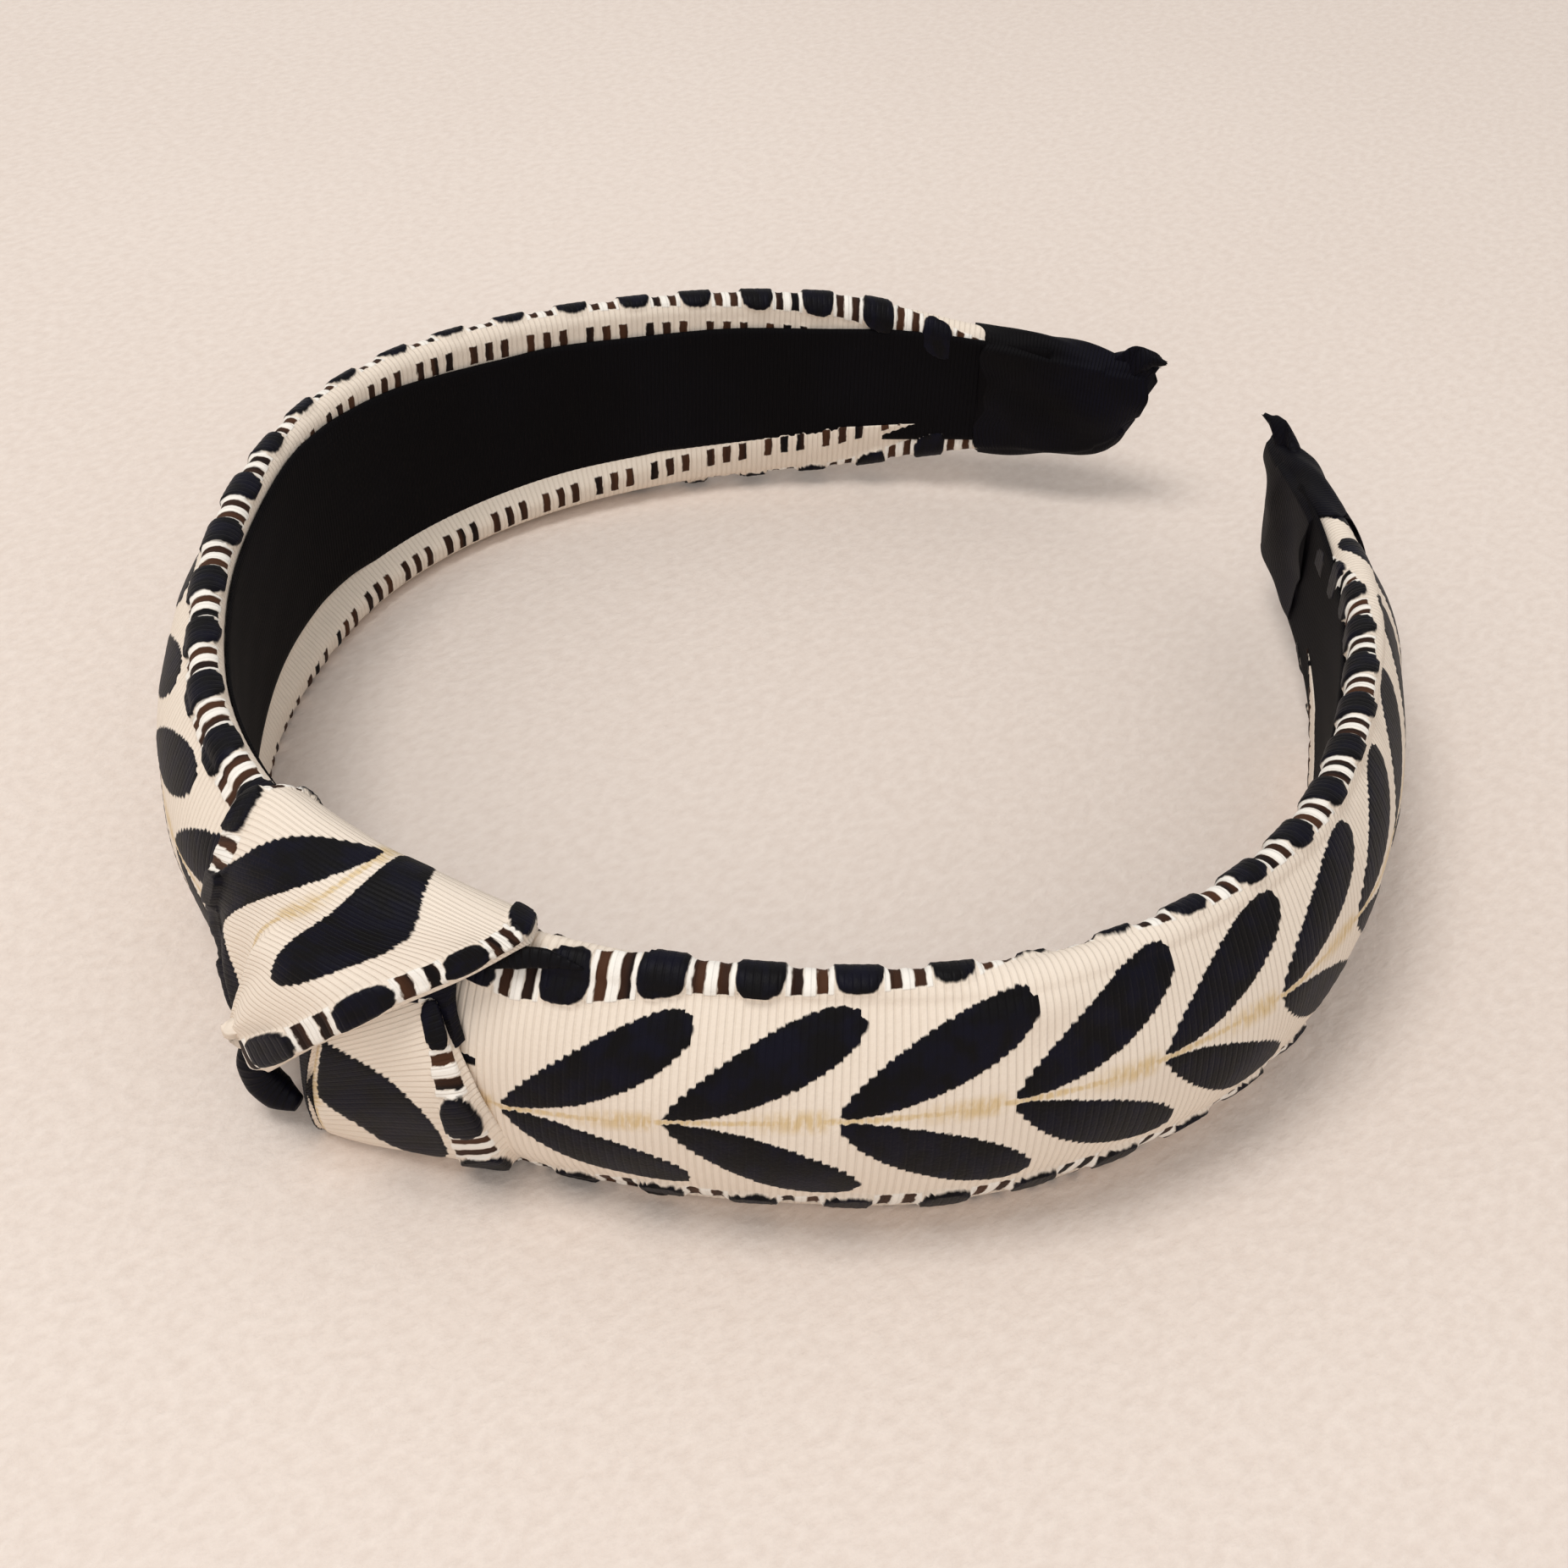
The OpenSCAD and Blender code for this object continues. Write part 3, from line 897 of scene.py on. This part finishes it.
LOWER_NET = (
    (
        (10.5, 12.6, 17), (11.7, 12.6, 18), (12.9, 12.4, 19), (16.6, 10.8, 22.4),
        (20.2, 8.7, 25), (21.7, 7.6, 25.8),
    ),
    (
        (9.5, 12.4, 12.5), (10.9, 12.5, 13.5), (12, 12.6, 14.5), (16.8, 11.7, 18.3),
        (21.5, 10.2, 21.8), (23, 9, 22.6),
    ),
    (
        (8.6, 12, 8), (10, 12.2, 9), (11, 12.3, 9.8), (16.6, 11.7, 13.4), (22.1, 11, 16.8),
        (24.8, 10, 17.9),
    ),
    (
        (8.2, 11.6, 4), (9.5, 11.9, 4.5), (10.6, 12, 5), (16, 11.2, 7.6), (22.3, 10.5, 11.2),
        (26, 9.9, 13.3),
    ),
    (
        (7.4, 10.3, 0.7), (8.6, 10.3, 0.7), (9.7, 10.1, 0.7), (15.5, 9, 1.2), (21.8, 8.4, 4),
        (27, 8.2, 7),
    ),
    (
        (7.2, 8, 0.3), (8.6, 8, 0.3), (10, 7.8, 0.3), (15.5, 6.4, 0.3), (21.6, 5.4, 0.6),
        (27, 5.6, 2.6),
    ),
)
LOWER_ALONG = (0, 5, 10, 15, 19, 23)
LOWER_BORDER = (-11, -7.4, -3.08, 0, 6, 10)

INNER_NET = (
    ((14, 10.8, 22.4), (18.5, 9.3, 25.4), (23, 7.2, 27.8)),
    ((16.6, 10, 19), (20, 9.3, 22), (23.2, 8.4, 24.6)),
    ((18.6, 10, 15), (21.4, 9.7, 18), (24, 9, 21)),
)


def knot_cloth(along, across, left_border, right_border):
    """Cloth place of each net point: along, across and along the borders."""
    rows, columns = len(along), len(across)
    share = np.linspace(0, 1, columns)[None]
    a = np.array(along, float)[:, None] + np.zeros((1, columns))
    w = np.array(across, float)[None] + np.zeros((rows, 1))
    d = np.array(left_border, float)[:, None] * (1 - share) + np.array(right_border, float)[:, None] * share
    return np.stack([a, w, d], axis=-1)


def knot_lobe(name, net, cloth_net, panel, rows, columns, folds, depth):
    """One lobe of the knot, with gathers that run to the pinch and the relief of the weave."""
    band = smooth_net(net, rows, columns)
    band[..., 2] += KNOT_LIFT * ramp(band[..., 2], 0.5, 7.0)
    cloth = smooth_net(cloth_net, rows, columns)
    grid = on_band(band[..., 0], band[..., 1], band[..., 2])
    outward = -normals(grid)
    facing = np.sign((outward[rows // 2, columns // 2] * np.array([0.3, -1.0, 0.4])).sum())
    gather = folds(cloth[..., 0], cloth[..., 1])
    height = relief(cloth[..., 0], cloth[..., 1], cloth[..., 2], panel) + gather
    share = np.abs(np.linspace(-1, 1, columns))[None]
    rounded = -0.8 * ramp(share, 0.9, 1.0)
    grid = grid + facing * outward * (height + rounded)[..., None] * MM
    grid[..., 2] = np.maximum(grid[..., 2], 0.05 * MM)
    return shell(name, grid, cloth, depth, -facing)


def upper_folds(a, w):
    """The front of the lobe folds over its back, and both gather towards the pinch."""
    near_pinch = ramp(a, 12.0, 24.0)
    fold = 1.3 * ramp(a, 13.0, 20.0) * ramp(-w, 0.4, 1.6)
    gather = 0.35 * np.cos((w - 6.0) / 1.9) * ramp(w, -1.0, 2.0) + 0.18 * np.cos(w / 1.3)
    return fold + near_pinch * gather


def lower_folds(a, w):
    return 0.3 * np.cos((w - 1.0) / 2.6) * ramp(a, 2.0, 10.0) - 0.5 * np.exp(-(((w - 1.2) / 0.9) ** 2))


def no_folds(a, w):
    return 0 * a


upper_cloth = knot_cloth(
    UPPER_ALONG, (18.4, 12.4, 6, 0, -6.5, -12.2, -18.4), UPPER_LEFT_BORDER, UPPER_RIGHT_BORDER
)
lower_cloth = knot_cloth(LOWER_ALONG, (11, 5.5, 0, -6, -12.2, -18.4), LOWER_BORDER, LOWER_BORDER)
inner_cloth = knot_cloth((0, 5, 10), (5, 0, -5), (0, 5, 10), (0, 5, 10))

knot_upper = knot_lobe("knot_upper_lobe", UPPER_NET, upper_cloth, upper_panel, 130, 110, upper_folds, 0.9)
dressed(knot_upper, "upper", "woven_ribbon", "knot_wrap")
knot_lower = knot_lobe("knot_lower_lobe", LOWER_NET, lower_cloth, lower_panel, 90, 80, lower_folds, 0.8)
dressed(knot_lower, "lower", "woven_ribbon", "knot_tuck")
knot_inner = knot_lobe("knot_crossing_ribbon", INNER_NET, inner_cloth, inner_panel, 40, 40, no_folds, 0.6)
dressed(knot_inner, "inner", "woven_ribbon", "knot_crossing")


def roll(name, points, radii, squash):
    """Rolled edge of ribbon along a short curve, thin at its ends."""
    path = smooth_rows(np.array(points, float), 40)
    radius = np.interp(np.linspace(0, 1, 40), np.linspace(0, 1, len(radii)), radii)
    turn = np.linspace(0, 2 * math.pi, 28, endpoint=False)
    place = on_band(path[:, 0], path[:, 1], path[:, 2])
    ahead = np.gradient(place, axis=0)
    ahead = ahead / np.linalg.norm(ahead, axis=1, keepdims=True)
    side = np.cross(ahead, [0.2, -0.8, 0.55])
    side = side / np.linalg.norm(side, axis=1, keepdims=True)
    face = np.cross(side, ahead)
    lay = 1 + 0.05 * np.sin(3 * turn)[None, :, None]
    ring = side[:, None] * np.cos(turn)[None, :, None] + squash * face[:, None] * np.sin(turn)[None, :, None]
    rings = place[:, None] + ring * lay * radius[:, None, None] * MM
    cloth = np.zeros_like(rings)
    cloth[..., 0] = np.linspace(0, 8, 40)[:, None]
    return tube(name, rings, cloth)


corner_roll = roll(
    "knot_corner_ribbon",
    ((3, 12, 9.6), (3.3, 12.4, 7), (4, 12.1, 5), (5.3, 11.6, 3.8), (7, 11, 3.2)),
    (1.0, 1.8, 2.1, 1.9, 0.9),
    0.8,
)
dressed(corner_roll, "roll", "woven_ribbon", "knot_corner_roll")
back_fold = roll(
    "knot_back_fold_ribbon",
    ((25.4, 5.8, 29.4), (27.6, 5, 30.6), (30.2, 4.6, 31.1), (33.4, 4.4, 30.6)),
    (0.2, 1.0, 0.9, 0.1),
    0.55,
)
dressed(back_fold, "roll", "woven_ribbon", "knot_back_fold")
for piece in (knot_upper, knot_lower, knot_inner, corner_roll, back_fold):
    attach(piece, "crown")


# Camera, at the photograph's angle. A scratch fit to the photo's dots and edges gave these vectors

CAMERA_PLACE = Vector((0.142017, -0.13561, 0.1693))
CAMERA_RIGHT = Vector((0.669725, 0.742197, 0.024718))
CAMERA_UP = Vector((-0.501884, 0.427843, 0.751706))

camera = bpy.data.objects.new("camera", bpy.data.cameras.new("camera"))
bpy.context.collection.objects.link(camera)
back = CAMERA_RIGHT.cross(CAMERA_UP)
turned = Matrix((CAMERA_RIGHT, CAMERA_UP, back)).transposed().to_4x4()
camera.matrix_world = Matrix.Translation(CAMERA_PLACE) @ turned
camera.data.lens = 50.0
camera.data.sensor_width = 36.0
camera.data.clip_start = 0.01
bpy.context.scene.camera = camera


# Floor and light

def fleece():
    paint = Paint("pale_fleece", 0.95, sheen=0.25, specular=0.1)
    broad = paint.noise(7.0)
    nap = paint.noise(900.0, 5.0, (1.0, 0.6, 1.0))
    paint.colour(paint.mix(ramp(nap * 0.7 + broad * 0.3, 0.25, 0.75), (226, 211, 200), (237, 224, 214)))
    paint.bump(nap, 0.0004, 0.6)
    return paint.material


corners = np.array([(-1.6, -1.6, 0.0), (1.6, -1.6, 0.0), (1.6, 1.6, 0.0), (-1.6, 1.6, 0.0)])
floor_sheet = new_object("floor", corners, [(0, 1, 2, 3)])
floor_sheet.data.materials.append(fleece())


def soft_light(name, place, aim, size, power, colour):
    lamp = bpy.data.lights.new(name, "AREA")
    lamp.shape = "DISK"
    lamp.size = size
    lamp.energy = power
    lamp.color = colour
    light = bpy.data.objects.new(name, lamp)
    light.location = place
    light.rotation_euler = (Vector(aim) - Vector(place)).to_track_quat("-Z", "Y").to_euler()
    bpy.context.collection.objects.link(light)


soft_light("key_light", (-0.1, -0.38, 1.1), (0.0, 0.0, 0.0), 0.5, 5.7, (1.0, 0.985, 0.965))
soft_light("fill_light", (0.55, -0.6, 0.6), (0.0, 0.0, 0.0), 0.7, 1.2, (1.0, 0.985, 0.97))

world = bpy.data.worlds.new("studio")
world.use_nodes = True
world.node_tree.nodes["Background"].inputs["Color"].default_value = (1.0, 0.985, 0.97, 1.0)
world.node_tree.nodes["Background"].inputs["Strength"].default_value = 0.615
bpy.context.scene.world = world
bpy.context.scene.view_settings.view_transform = "Standard"
